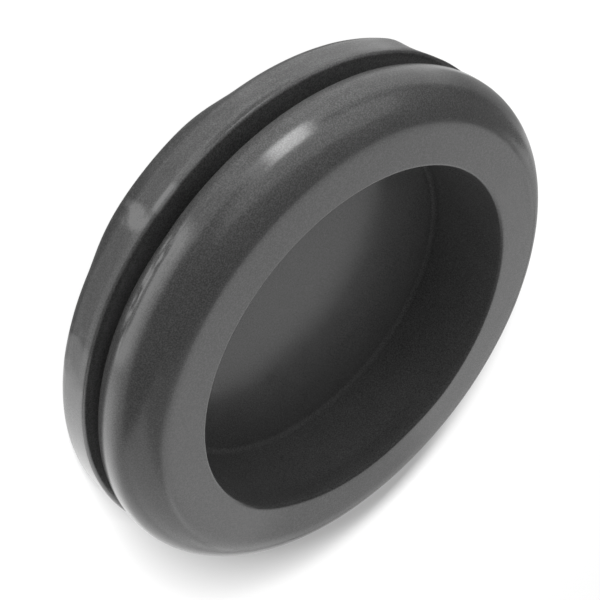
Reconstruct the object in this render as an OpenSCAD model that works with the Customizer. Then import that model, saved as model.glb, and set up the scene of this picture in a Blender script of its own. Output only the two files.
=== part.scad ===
// Blind rubber grommet: a moulded plug that closes a round hole in sheet metal.
// The sheet sits in the groove between two flanges. The front flange has a round bead and an open cup,
// and the rear flange carries the closed wall. The axis is Z, the rear face lies on z = 0, the mouth is up.

/* [Panel] */
// Diameter of the panel hole, which the root of the groove fills
panel_hole_d = 32; // [20:0.5:60]
// Thickness of the panel that the groove grips
panel_t = 1.5; // [0.8:0.1:4]

/* [Front flange] */
// Reach of the front flange past the edge of the hole
front_lip = 4.1; // [2.5:0.1:8]
// Thickness of the front flange
front_flange_t = 4.15; // [3.6:0.05:7]
// Radius of the bead round the outside of the front face
bead_r = 3.1; // [0.5:0.05:3.6]
// Radius of the front flange's edge at the groove
front_groove_edge_r = 0.45; // [0.1:0.05:1]

/* [Rear flange] */
// Reach of the rear flange past the edge of the hole
rear_lip = 4.2; // [1.5:0.1:8]
// Thickness of the rear flange
rear_flange_t = 3.25; // [2.2:0.05:6]
// Radius of the edge round the rear face
rear_edge_r = 1.2; // [0.2:0.1:2.5]
// Radius of the rear flange's edge at the groove
rear_groove_edge_r = 0.25; // [0.1:0.05:1.5]

/* [Groove] */
// How much narrower than the panel the groove is, so that the rubber grips
groove_squeeze = 0.1; // [0:0.05:0.3]
// Radius of the fillets at the root of the groove
groove_root_r = 0.3; // [0.1:0.05:0.6]

/* [Cup] */
// Thickness of the sleeve between the groove and the mouth of the cup
sleeve_t = 1.8; // [1:0.05:4]
// Thickness of the closed wall behind the cup
rear_wall_t = 1.85; // [1:0.05:3]
// Draft of the cup's wall, in degrees, wider at the mouth
cup_draft = 2.5; // [0.5:0.5:6]
// Radius between the cup's wall and its floor
floor_edge_r = 0.6; // [0.1:0.1:1.5]
// Radius of the edge of the mouth
mouth_edge_r = 0.3; // [0.1:0.05:0.6]

/* [Hidden] */
$fn = 128;
rubber_colour = "#3c3c3d";
groove_w = panel_t - groove_squeeze;
// Heights of the levels, from the rear face up to the mouth
groove_z = rear_flange_t;
front_z = groove_z + groove_w;
mouth_z = front_z + front_flange_t;
// Radii
groove_r = panel_hole_d / 2;
front_r = groove_r + front_lip;
rear_r = groove_r + rear_lip;
mouth_r = groove_r - sleeve_t;
// The cuts run this far past the faces that they open
cut_past = 0.5;
// Share of its radius by which a round in the cup dips past the two faces that it blends
round_dip = 0.01;

// Radius of the cup's wall at a height
function cup_r(z) = mouth_r - (mouth_z - z) * tan(cup_draft);

// Distance from the faces of the cup to the centre of a round between them
function round_inset(radius) = (1 - round_dip) * radius;

// Quarter of a disc, in the corner between +x and +y
module quarter_section(radius) {
    intersection() {
        circle(radius);
        square(radius);
    }
}

// Half section of a disc, from the axis to its rim, with its lower and upper rim edges rounded
module disc_section(radius, thickness, lower_r, upper_r) {
    square([radius - lower_r, lower_r]);
    translate([0, lower_r])
        square([radius, thickness - lower_r - upper_r]);
    translate([0, thickness - upper_r])
        square([radius - upper_r, upper_r]);
    translate([radius - lower_r, lower_r])
        mirror([0, 1])
            quarter_section(lower_r);
    translate([radius - upper_r, thickness - upper_r])
        quarter_section(upper_r);
}

// Fillet in an inner corner at the origin, between +x and +y
module fillet_section(radius) {
    difference() {
        square(radius);
        translate([radius, radius])
            circle(radius);
    }
}

// Half section of the two flanges and the neck between them, before the cup is cut
module body_section() {
    disc_section(rear_r, rear_flange_t, rear_edge_r, rear_groove_edge_r);
    translate([0, groove_z])
        square([groove_r, groove_w]);
    translate([groove_r, groove_z])
        fillet_section(groove_root_r);
    translate([groove_r, front_z])
        mirror([0, 1])
            fillet_section(groove_root_r);
    translate([0, front_z])
        disc_section(front_r, front_flange_t, front_groove_edge_r, bead_r);
}

// Half section of the cup's space, with a flat floor and a drafted wall
module cup_section() {
    over_z = mouth_z + cut_past;
    polygon([[0, rear_wall_t], [cup_r(rear_wall_t), rear_wall_t], [cup_r(over_z), over_z], [0, over_z]]);
}

// Rubber in the corner between the cup's floor and its wall
module floor_edge_section() {
    inset = round_inset(floor_edge_r);
    centre_z = rear_wall_t + inset;
    reach = floor_edge_r + cut_past;
    translate([cup_r(centre_z) - inset / cos(cup_draft), centre_z])
        difference() {
            translate([0, -reach])
                square(reach);
            circle(floor_edge_r);
        }
}

// Waste outside the round edge of the mouth
module mouth_edge_section() {
    inset = round_inset(mouth_edge_r);
    centre_z = mouth_z - inset;
    reach = mouth_edge_r + cut_past;
    translate([cup_r(centre_z) + inset / cos(cup_draft), centre_z])
        difference() {
            translate([-reach, 0])
                square(reach);
            circle(mouth_edge_r);
        }
}

// The whole grommet, one piece of moulded rubber
module grommet() {
    color(rubber_colour)
        rotate_extrude() {
            difference() {
                body_section();
                cup_section();
                mouth_edge_section();
            }
            floor_edge_section();
        }
}

grommet();
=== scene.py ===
import math

import bpy
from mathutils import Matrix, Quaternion, Vector


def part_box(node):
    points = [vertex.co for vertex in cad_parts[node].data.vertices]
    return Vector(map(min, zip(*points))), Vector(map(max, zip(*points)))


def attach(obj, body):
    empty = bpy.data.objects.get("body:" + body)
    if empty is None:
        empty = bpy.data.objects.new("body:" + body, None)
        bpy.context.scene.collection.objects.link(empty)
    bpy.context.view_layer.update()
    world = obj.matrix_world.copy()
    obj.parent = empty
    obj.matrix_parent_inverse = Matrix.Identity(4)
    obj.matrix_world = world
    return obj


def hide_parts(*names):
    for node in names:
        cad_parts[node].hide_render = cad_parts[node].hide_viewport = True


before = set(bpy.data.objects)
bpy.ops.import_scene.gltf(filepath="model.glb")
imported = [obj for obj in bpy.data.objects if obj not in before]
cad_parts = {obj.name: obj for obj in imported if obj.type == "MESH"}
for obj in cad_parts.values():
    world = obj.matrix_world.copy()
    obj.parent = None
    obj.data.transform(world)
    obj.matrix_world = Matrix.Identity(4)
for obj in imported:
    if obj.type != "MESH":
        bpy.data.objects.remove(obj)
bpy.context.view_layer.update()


# Moulded body
# The blind grommet is one piece of soft black rubber, pressed in a closed mould. Two flanges
# grip the panel between them, and a cup with a closed floor opens in the rounded front flange.
# Its section is drawn from the axis out, round both flanges and back, and turned about the axis.
body_low, body_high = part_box("grommet")
# Sizes of the section and of what departs from it, in metres
sizes = {
    "Rim radius": body_high.x,
    "Height": body_high.z,
    "Rear flange": 0.00325,
    "Rear edge": 0.0012,
    "Rear lip edge": 0.00025,
    "Groove radius": 0.016,
    "Groove width": 0.0014,
    "Groove root": 0.0003,
    "Front radius": 0.0201,
    "Front lip edge": 0.0008,
    "Bead": 0.0031,
    "Mouth radius": 0.0142,
    "Mouth edge": 0.0003,
    "Mouth lean": 0.0003,
    "Cup floor radius": 0.0139,
    "Cup floor edge": 0.0004,
    "Rear wall": 0.00185,
    "Flash height": 0.00006,
    "Flash width": 0.00012,
    "Sharper edge": 0.0007,
    "Rounder edge": 0.0015,
    "Lip droop": 0.0003,
    "Worn taper": 0.0006,
    "Waviness": 0.00003,
    "Mesh step": 0.0004,
}


class Wire:
    """One socket of a node tree. Arithmetic on it adds Math nodes, and node() adds any other."""

    def __init__(self, tree, socket=None):
        self.tree = tree
        self.socket = socket

    def node(self, kind, settings=None, sockets=None, output=0):
        """Adds a node: first its settings, then the values or links of its sockets."""
        made = self.tree.nodes.new(kind)
        for name, value in (settings or {}).items():
            if name == "items":
                for _ in range(value - len(made.index_switch_items)):
                    made.index_switch_items.new()
            else:
                setattr(made, name, value)
        for name, value in (sockets or {}).items():
            socket = self.find(made.inputs, name)
            if isinstance(value, Wire):
                self.tree.links.new(value.socket, socket)
            else:
                socket.default_value = value
        return Wire(self.tree, self.find(made.outputs, output))

    def find(self, row, name):
        """The socket of this number, or the one of this name that is in use."""
        if isinstance(name, int):
            return row[name] if name < len(row) else None
        return next(socket for socket in row if socket.name == name and socket.enabled)

    def math(self, operation, *values):
        return self.node("ShaderNodeMath", {"operation": operation}, dict(enumerate(values)))

    def __add__(self, other):
        return self.math("ADD", self, other)

    def __sub__(self, other):
        return self.math("SUBTRACT", self, other)

    def __mul__(self, other):
        return self.math("MULTIPLY", self, other)

    def __truediv__(self, other):
        return self.math("DIVIDE", self, other)

    def __pow__(self, other):
        return self.math("POWER", self, other)

    def __neg__(self):
        return self.math("SUBTRACT", 0.0, self)

    def __radd__(self, other):
        return self.math("ADD", other, self)

    def __rsub__(self, other):
        return self.math("SUBTRACT", other, self)

    def __rmul__(self, other):
        return self.math("MULTIPLY", other, self)

    def step(self, low, high):
        """Rises smoothly from 0 at low to 1 at high, or falls where high is the lower."""
        edges = {"Value": self, "From Min": low, "From Max": high}
        return self.node("ShaderNodeMapRange", {"interpolation_type": "SMOOTHSTEP"}, edges)

    def noise(self, scale, detail=2.0):
        """A soft random value round 0.5 at this place, with features 1 / scale apart."""
        sockets = {"Vector": self, "Scale": scale, "Detail": detail}
        return self.node("ShaderNodeTexNoise", {}, sockets)

    def vector(self, x=0.0, y=0.0, z=0.0):
        return self.node("ShaderNodeCombineXYZ", {}, {"X": x, "Y": y, "Z": z})

    def axis(self, letter):
        return self.node("ShaderNodeSeparateXYZ", {}, {"Vector": self}, letter)

    def reach(self):
        """Distance of this place from the axis."""
        across = self.axis("X")
        along = self.axis("Y")
        return (across * across + along * along) ** 0.5

    def facing(self, turn):
        """Cosine of the angle round the axis from this place to a turn in degrees."""
        side = math.radians(turn)
        that_way = self.axis("X") * math.cos(side) + self.axis("Y") * math.sin(side)
        return that_way / self.reach()

    def distance(self, point):
        sockets = {0: self, 1: point}
        return self.node("ShaderNodeVectorMath", {"operation": "DISTANCE"}, sockets, "Value")

    def times(self, factor):
        """This vector with its length multiplied."""
        sockets = {0: self, "Scale": factor}
        return self.node("ShaderNodeVectorMath", {"operation": "SCALE"}, sockets)


body_tree = bpy.data.node_groups.new("moulded_body", "GeometryNodeTree")
body_tree.is_modifier = True
for name in sizes:
    body_tree.interface.new_socket(name, in_out="INPUT", socket_type="NodeSocketFloat")
body_tree.interface.new_socket("Rubber", in_out="INPUT", socket_type="NodeSocketMaterial")
body_tree.interface.new_socket("Body", in_out="OUTPUT", socket_type="NodeSocketGeometry")
build = Wire(body_tree)
size = {name: build.node("NodeGroupInput", output=name) for name in sizes}

# The section's corners: distance from the axis, height, and radius of the rounding there.
# A hair of flash stands on the front flange where the two halves of the mould met.
front_low = size["Rear flange"] + size["Groove width"]
flash_low = front_low + size["Front lip edge"]
flash_top = flash_low + size["Flash width"] * 0.5
flash_high = flash_low + size["Flash width"]
flash_radius = size["Front radius"] + size["Flash height"]
corners = [
    (0.0, 0.0, 0.0),
    (size["Rim radius"], 0.0, size["Rear edge"]),
    (size["Rim radius"], size["Rear flange"], size["Rear lip edge"]),
    (size["Groove radius"], size["Rear flange"], size["Groove root"]),
    (size["Groove radius"], front_low, size["Groove root"]),
    (size["Front radius"], front_low, size["Front lip edge"]),
    (size["Front radius"], flash_low, 0.0),
    (flash_radius, flash_top, 0.0),
    (size["Front radius"], flash_high, 0.0),
    (size["Front radius"], size["Height"], size["Bead"]),
    (size["Mouth radius"], size["Height"], size["Mouth edge"]),
    (size["Cup floor radius"], size["Rear wall"], size["Cup floor edge"]),
    (0.0, size["Rear wall"], 0.0),
]
steps_in_corner = 14
index = build.node("GeometryNodeInputIndex")
places = {"Index": index}
roundings = {"Index": index}
for number, (corner_radius, corner_height, corner_rounding) in enumerate(corners):
    # The sweep lays a section's x outwards from the rim's circle, and its y downwards
    places[str(number)] = build.vector(corner_radius - size["Rim radius"], 0.0 - corner_height)
    roundings[str(number)] = corner_rounding
count = len(corners)
place = build.node("GeometryNodeIndexSwitch", {"data_type": "VECTOR", "items": count}, places)
rounding = build.node("GeometryNodeIndexSwitch", {"data_type": "FLOAT", "items": count}, roundings)
section = build.node("GeometryNodeMeshLine", {}, {"Count": count})
section = build.node("GeometryNodeSetPosition", {}, {"Geometry": section, "Position": place})
section = build.node("GeometryNodeMeshToCurve", {}, {"Mesh": section})
section = build.node(
    "GeometryNodeFilletCurve",
    {"mode": "POLY"},
    {"Curve": section, "Radius": rounding, "Count": steps_in_corner, "Limit Radius": True},
)

# Long straight stretches of the section are divided, so that the mesh is even
length = build.node("GeometryNodeSplineParameter", output="Length")
next_length = build.node(
    "GeometryNodeFieldAtIndex",
    {"data_type": "FLOAT", "domain": "POINT"},
    {"Index": index + 1.0, "Value": length},
)
cuts = build.math("FLOOR", (next_length - length) / size["Mesh step"])
section = build.node("GeometryNodeSubdivideCurve", {}, {"Curve": section, "Cuts": cuts})

# The section goes once round the rim's circle, and the rings on the axis close to points
steps_round = 320
merge_gap = 0.000001
circle = build.node(
    "GeometryNodeCurvePrimitiveCircle",
    {"mode": "RADIUS"},
    {"Resolution": steps_round, "Radius": size["Rim radius"]},
)
circle = build.node("GeometryNodeSetCurveNormal", {"mode": "Z_UP"}, {"Curve": circle})
body = build.node("GeometryNodeCurveToMesh", {}, {"Curve": circle, "Profile Curve": section})
body = build.node("GeometryNodeMergeByDistance", {}, {"Geometry": body, "Distance": merge_gap})
body = build.node("GeometryNodeFlipFaces", {}, {"Mesh": body})


def shifted(shape, offset, chosen=True):
    """The shape with its chosen points moved by an offset that varies over it."""
    sockets = {"Geometry": shape, "Selection": chosen, "Offset": offset}
    return build.node("GeometryNodeSetPosition", {}, sockets)


# The flash has been trimmed, all but a trace on one stretch
flash_turn = -75.0
height_margin = 0.000001
here = build.node("GeometryNodeInputPosition")
outwards = build.node("GeometryNodeInputNormal")
level = here.axis("Z")
on_flash = build.math("GREATER_THAN", level, flash_low + height_margin)
on_flash = on_flash * build.math("LESS_THAN", level, flash_high - height_margin)
trimmed = size["Flash height"] * here.facing(flash_turn).step(0.985, 0.960)
body = shifted(body, outwards.times(-trimmed), on_flash)

# The rear flange isn't true all round: its edge is sharper on one stretch and a little rounder
# beside it, and at one end of the rounder stretch the rim is worn to a taper
sharper_turn = -91.0
rounder_turn = -135.0
rounder_share = 0.13
worn_turn = -150.0
worn_side = 114.0
taper_at_groove = 0.15
reach = here.reach()
across = here.axis("X") / reach
along = here.axis("Y") / reach
faces_out = outwards.axis("X") * across + outwards.axis("Y") * along
change = here.facing(sharper_turn).step(0.925, 0.995) * size["Sharper edge"]
worn = here.facing(worn_side).step(-0.070, 0.104) * here.facing(worn_turn).step(0.788, 0.940)
change = change - worn * size["Rounder edge"]
rounder = here.facing(rounder_turn).step(0.829, 0.961)
change = change - rounder * size["Rounder edge"] * rounder_share
change = change * reach.step(0.0150, 0.0190) * level.step(0.0032, 0.0012)
taper = worn * size["Worn taper"] * reach.step(0.0165, 0.0195) * level.step(0.0040, 0.0034)
taper = taper * (taper_at_groove + level.step(0.0033, 0.0012) * (1.0 - taper_at_groove))
outer = change * (1.0 - faces_out) - taper
lower = change * (1.0 + outwards.axis("Z"))
body = shifted(body, build.vector(across * outer, along * outer, -lower))

# The front lip hangs a little towards the groove, and more on one stretch
droop_turn = -45.0
extra_droop = 0.65
hang = size["Lip droop"] * (1.0 + here.facing(droop_turn).step(0.766, 0.966) * extra_droop)
hang = hang * reach.step(0.0165, 0.0193) * level.step(0.0056, 0.0047) * level.step(0.0036, 0.0042)
body = shifted(body, build.vector(z=-hang))

# The edge of the mouth leans in on one side
lean_turn = 52.0
lean = size["Mouth lean"] * here.facing(lean_turn).step(0.72, 0.96)
lean = lean * reach.step(0.0153, 0.0146) * level.step(0.0066, 0.0085)
body = shifted(body, build.vector(-(across * lean), -(along * lean)))

# Moulded rubber is never quite true: the skin sinks a little here and there
waves_per_metre = 220.0
sink = here.noise(scale=waves_per_metre, detail=1.0) * size["Waviness"]
body = shifted(body, outwards.times(-sink))
body = build.node("GeometryNodeSetShadeSmooth", {}, {"Geometry": body, "Shade Smooth": True})
body = build.node("GeometryNodeRealizeInstances", {}, {"Geometry": body})
rubber_input = build.node("NodeGroupInput", output="Rubber")
body = build.node("GeometryNodeSetMaterial", {}, {"Geometry": body, "Material": rubber_input})
build.node("NodeGroupOutput", {}, {"Body": body})

# The rubber is charcoal with a fine moulded grain. Painted highlights and reflections make it paler
# round the rim, on the front lip and along their corners. Places on it are in millimetres here.
charcoal = (0.042, 0.042, 0.042, 1.0)
# The pale grey that grain, painted highlights and painted fill light mix towards
pale_and_lit_grey = (0.150, 0.150, 0.150, 1.0)
millimetres = 1000.0
rubber = bpy.data.materials.new("rubber")
rubber.use_nodes = True
rubber.node_tree.nodes.clear()
skin = Wire(rubber.node_tree)
spot = skin.node("ShaderNodeTexCoord", output="Object").times(millimetres)
x = spot.axis("X")
y = spot.axis("Y")
z = spot.axis("Z")
radius = spot.reach()


def round_noise(cells_round, cells_across, detail):
    """Noise that runs in streaks round the axis, without a seam."""
    turned_x = x / radius * cells_round
    turned_y = y / radius * cells_round
    stretched = skin.vector(turned_x, turned_y, (z - radius) * cells_across)
    return stretched.noise(scale=1.0, detail=detail)


grain = spot.noise(scale=11.0, detail=2.0)
mottle = spot.noise(scale=0.45, detail=3.0)
scuffs = round_noise(cells_round=9.0, cells_across=2.2, detail=3.0)
hairlines = round_noise(cells_round=4.0, cells_across=11.0, detail=2.0)
patchy = spot.noise(scale=0.9, detail=3.0)
flecks = round_noise(cells_round=17.0, cells_across=5.0, detail=3.0).step(0.34, 0.62)

# The two flanges and the groove. Each face fades in or out between the two places of a step.
# On the rough stretch, painted highlight flecks on the flash trace break up the lip, which starts
# higher.
rough_rise = 0.3
rim = radius.step(19.3, 20.1) * z.step(3.3, 3.15)
rear_edge = radius.step(18.8, 19.4) * z.step(1.3, 0.9)
rim_corner = radius.step(19.8, 20.02) * z.step(2.65, 2.85) * z.step(3.3, 3.2)
groove = radius.step(15.2, 15.6) * radius.step(19.9, 19.5) * z.step(3.1, 3.2) * z.step(4.75, 4.65)
rough = spot.facing(flash_turn).step(0.978, 0.994)
flash_highlight = rough * radius.step(19.5, 19.8) * z.step(4.95, 5.10) * z.step(5.65, 5.50) * flecks
lip_level = z - rough * rough_rise
lip_under = radius.step(18.9, 19.3) * z.step(3.9, 4.1) * lip_level.step(5.55, 5.00)
lip_under = lip_under * (1.0 - flash_highlight)
lip_under = lip_under * (1.0 - rough * z.step(4.7, 5.1) * 0.5)
lip = radius.step(19.7, 20.0) * lip_level.step(5.20, 5.55) * z.step(6.95, 5.85)

# The cup, with its corner, its wall and the edge of its mouth, which take painted light and shade
mouth_turn = 80.0
cup = radius.step(14.5, 14.3) * z.step(1.5, 1.8) * z.step(8.75, 8.55)
cup_corner = cup * radius.step(13.2, 13.5) * z.step(2.5, 2.2)
cup_wall = cup * radius.step(13.7, 13.9) * z.step(6.0, 2.6)
mouth_edge = radius.step(13.8, 13.9) * radius.step(14.6, 14.45)
mouth_edge = mouth_edge * z.step(8.3, 8.5) * z.step(8.79, 8.72)
mouth_edge = mouth_edge * spot.facing(mouth_turn).step(-0.2, 0.5)

# Painted shade: two stretches of the bead, and one of the flat front, turned dull without gloss
bead_turn = 100.0
bead_end_turn = -167.0
front_turn = 48.0
bead_side = radius.step(16.7, 17.9) * spot.facing(bead_turn).step(0.1, 0.5)
bead_end = radius.step(18.6, 19.4) * spot.facing(bead_end_turn).step(0.94, 0.99)
shaded_bead = (bead_side * 0.42 + bead_end * 0.6) * z.step(5.6, 6.2)
shaded_front = z.step(8.6, 8.75) * radius.step(17.6, 16.8) * spot.facing(front_turn).step(0.78, 0.97)

# Painted highlights and reflections, with a glossy coat: part of the rim, two stretches of the lip,
# a stretch of the rim's corner and two spots on the rim.
rim_turn = -20.0
lip_turn = -28.0
streak_turn = -73.5
corner_turn = -75.0
corner_spot_turn = -89.0
rim_spot = (2.3, -20.1, 1.95)
highlight_side = spot.facing(rim_turn) + (patchy - 0.5) * 0.12
full_highlight = highlight_side.step(0.79, 0.90)
half_highlight = highlight_side.step(0.775, 0.815) * 0.5
rim_highlight = rim * skin.math("MAXIMUM", full_highlight, half_highlight)
lip_highlight = lip * spot.facing(lip_turn).step(0.79, 0.94)
streak_highlight = lip * spot.facing(streak_turn).step(0.957, 0.985) * (1.1 + (hairlines - 0.5) * 1.2)
corner_highlight = rim * z.step(2.4, 2.75) * spot.facing(corner_turn).step(0.86, 0.95) * 0.32
from_spot = spot.distance(rim_spot) + (patchy - 0.5) * 1.8
spot_highlight = rim * from_spot.step(1.25, 0.25) * 1.3
spot_highlight = spot_highlight + rim_corner * spot.facing(corner_spot_turn).step(0.9978, 0.9997)
painted_highlight = rim_highlight * 0.9 + lip_highlight * 0.78 + streak_highlight + corner_highlight + spot_highlight + flash_highlight * 0.85
painted_highlight = skin.math("MINIMUM", painted_highlight, 1.0)

# How pale the rubber is: its grain and scuffs, the painted highlights, then painted light and shade
# Painted shade darkens one stretch of the groove and one side of the cup's corner
dark_groove_turn = -112.0
dark_corner_turn = 150.0
dark_groove = spot.facing(dark_groove_turn).step(0.75, 0.97)
dark_corner = cup_corner * spot.facing(dark_corner_turn).step(0.3, 0.9)
pale = 0.17 + (mottle - 0.5) * 0.16 + (grain - 0.5) * 1.5
pale = pale + (rim + lip) * (scuffs - 0.5) * 0.5
pale = pale + painted_highlight * 0.60 + streak_highlight * 0.17 + spot_highlight * 0.1
# Painted fill light makes the rim, the cup and most of the groove paler
pale = pale + rim * 0.06 + cup * 0.21 + groove * (0.32 - dark_groove * 0.30)
# Painted fill light under the lip, and painted shade on the rear edge
pale = pale + lip_under * 0.03 - rear_edge * (1.0 - painted_highlight) * 0.08
pale = pale - dark_corner * 0.06
tone = skin.node(
    "ShaderNodeMix",
    {"data_type": "RGBA"},
    {"Factor": pale, "A": charcoal, "B": pale_and_lit_grey},
    "Result",
)
roughness = 0.21 + (mottle - 0.5) * 0.08 + (grain - 0.5) * 0.05
roughness = roughness + rear_edge * 0.25
relief = {"Height": grain * 0.6 + mottle, "Strength": 0.35, "Distance": 0.00002}
bump = skin.node("ShaderNodeBump", {}, relief, "Normal")
# The painted highlights also set the weight of the glossy coat
shiny = skin.node(
    "ShaderNodeBsdfPrincipled",
    {},
    {
        "Base Color": tone,
        "Roughness": roughness,
        "Normal": bump,
        "Coat Weight": painted_highlight,
        "Coat Roughness": 0.22,
    },
)

# Painted shade: a dull film without gloss under the lip, in the cup and at its mouth, on the rim's
# corner and rear edge away from the painted highlights, and on stretches of the bead, front and
# rim.
dulled_corner_turn = -111.0
dulled_rim_turn = -160.0
shade_dulling = lip_under * 0.9 + cup * 0.36 + cup_corner * 0.5 + cup_wall * 0.25 + mouth_edge * 0.7
shade_dulling = shade_dulling + (rim_corner * 0.2 + rear_edge * 0.55) * (1.0 - painted_highlight)
shade_dulling = shade_dulling + shaded_bead + shaded_front * 0.3
shade_dulling = shade_dulling + rim_corner * spot.facing(dulled_corner_turn).step(0.975, 0.993) * 0.5
shade_dulling = shade_dulling + rim * spot.facing(dulled_rim_turn).step(0.965, 0.992) * 0.45
dull = skin.node(
    "ShaderNodeBsdfPrincipled",
    {},
    {"Base Color": tone, "Roughness": 0.9, "Specular IOR Level": 0.0},
)
shader = skin.node("ShaderNodeMixShader", {}, {"Fac": shade_dulling, 1: shiny, 2: dull})
skin.node("ShaderNodeOutputMaterial", {}, {"Surface": shader})

grommet = bpy.data.objects.new("grommet_rubber", bpy.data.meshes.new("grommet_rubber"))
bpy.context.scene.collection.objects.link(grommet)
modifier = grommet.modifiers.new("moulded_body", "NODES")
modifier.node_group = body_tree
settings = {**sizes, "Rubber": rubber}
for item in body_tree.interface.items_tree:
    if item.in_out == "INPUT":
        modifier[item.identifier] = settings[item.name]
bpy.context.view_layer.update()
evaluated = grommet.evaluated_get(bpy.context.evaluated_depsgraph_get())
finished = bpy.data.meshes.new_from_object(evaluated)
grommet.modifiers.remove(modifier)
grommet.data = finished
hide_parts("grommet")
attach(grommet, "root")


# Floor
# A plain pale sheet that the grommet rests on, set at the level of its rear face.
# The camera and the gloss of the rubber see it nearly white, and it keeps the soft shadow.
floor_half = 1.0
floor_colour = (0.55, 0.55, 0.55, 1.0)
floor_glow = 0.22
floor_material = bpy.data.materials.new("floor_paint")
floor_material.use_nodes = True
floor_material.node_tree.nodes.clear()
paint = Wire(floor_material.node_tree)
matt = paint.node("ShaderNodeBsdfDiffuse", {}, {"Color": floor_colour})
seen = paint.node("ShaderNodeLightPath", output="Is Camera Ray")
seen = seen + paint.node("ShaderNodeLightPath", output="Is Glossy Ray")
seen = seen + paint.node("ShaderNodeLightPath", output="Is Transmission Ray")
glow = paint.node("ShaderNodeEmission", {}, {"Strength": seen * floor_glow})
both = paint.node("ShaderNodeAddShader", {}, {0: matt, 1: glow})
paint.node("ShaderNodeOutputMaterial", {}, {"Surface": both})
floor_mesh = bpy.data.meshes.new("floor")
floor_corners = [
    (-floor_half, -floor_half, body_low.z),
    (floor_half, -floor_half, body_low.z),
    (floor_half, floor_half, body_low.z),
    (-floor_half, floor_half, body_low.z),
]
floor_mesh.from_pydata(floor_corners, [], [(0, 1, 2, 3)])
floor_mesh.materials.append(floor_material)
floor = bpy.data.objects.new("floor", floor_mesh)
bpy.context.scene.collection.objects.link(floor)


# Studio light
# Soft white panels stand round the grommet, each facing its middle, and a dim even light fills
# the rest. Two small cards close to the bead make its highlight, and a long narrow panel lights
# the floor alone for the soft shadow.
middle = (body_low + body_high) / 2
room_light = 0.30
lit_alone = {}
for name, piece in (("grommet", grommet), ("floor", floor)):
    lit_alone[name] = bpy.data.collections.new(name + "_alone")
    lit_alone[name].objects.link(piece)


def hang_panel(name, turn, rise, wide, tall, brightness, distance=0.25, lights="grommet"):
    """Hangs a panel that faces the grommet. Turn, rise, width and height are angles in degrees."""
    panel = bpy.data.lights.new(name, "AREA")
    panel.shape = "RECTANGLE"
    panel.size = 2 * distance * math.tan(math.radians(wide / 2))
    panel.size_y = 2 * distance * math.tan(math.radians(tall / 2))
    panel.energy = math.pi * panel.size * panel.size_y * brightness
    lamp = bpy.data.objects.new(name, panel)
    bpy.context.scene.collection.objects.link(lamp)
    side = math.radians(turn)
    flat = math.cos(math.radians(rise))
    up = math.sin(math.radians(rise))
    towards = Vector((flat * math.cos(side), flat * math.sin(side), up))
    lamp.location = middle + towards * distance
    lamp.rotation_mode = "QUATERNION"
    lamp.rotation_quaternion = (-towards).to_track_quat("-Z", "Y")
    lamp.visible_camera = False
    lamp.light_linking.receiver_collection = lit_alone[lights]


hang_panel("far_panel", turn=85.0, rise=30.0, wide=53.0, tall=52.0, brightness=1.05)
hang_panel("right_panel", turn=25.0, rise=21.0, wide=58.0, tall=40.0, brightness=1.0)
hang_panel("gap_panel", turn=56.5, rise=8.0, wide=8.0, tall=11.0, brightness=1.0)
hang_panel("low_panel", turn=116.5, rise=11.0, wide=11.5, tall=20.0, brightness=1.05)
hang_panel("upper_panel", turn=35.0, rise=53.0, wide=70.0, tall=24.0, brightness=0.30)
hang_panel("near_panel", turn=-138.0, rise=32.0, wide=76.0, tall=40.0, brightness=0.9)
hang_panel("card", turn=-121.0, rise=3.8, wide=14.0, tall=18.1, brightness=9.0, distance=0.0392)
hang_panel("card_edge", turn=-109.5, rise=3.8, wide=9.3, tall=18.1, brightness=0.8, distance=0.040)
hang_panel(
    "floor_panel",
    turn=-103.0,
    rise=24.2,
    wide=21.0,
    tall=3.0,
    brightness=510.0,
    distance=2.0,
    lights="floor",
)
world = bpy.data.worlds.new("room")
world.use_nodes = True
room = world.node_tree.nodes["Background"]
room.inputs["Color"].default_value = (1.0, 1.0, 1.0, 1.0)
room.inputs["Strength"].default_value = room_light
bpy.context.scene.world = world


# Camera
# It looks down on the grommet from the front with a long lens, turned about its line of sight
# so that the axis of the grommet leans to the lower right.
camera_place = Vector((0.0, -0.08595, 0.06001))
camera_aim = Vector((0.00025, -0.000045, 0.00207))
camera_roll = math.radians(127.8)
camera_data = bpy.data.cameras.new("camera")
camera_data.lens = 84.0
camera_data.sensor_width = 36.0
camera_data.clip_start = 0.005
camera = bpy.data.objects.new("camera", camera_data)
bpy.context.scene.collection.objects.link(camera)
camera.location = camera_place
camera.rotation_mode = "QUATERNION"
level_look = (camera_aim - camera_place).to_track_quat("-Z", "Y")
camera.rotation_quaternion = level_look @ Quaternion((0.0, 0.0, 1.0), camera_roll)
bpy.context.scene.camera = camera
bpy.context.scene.view_settings.view_transform = "Standard"
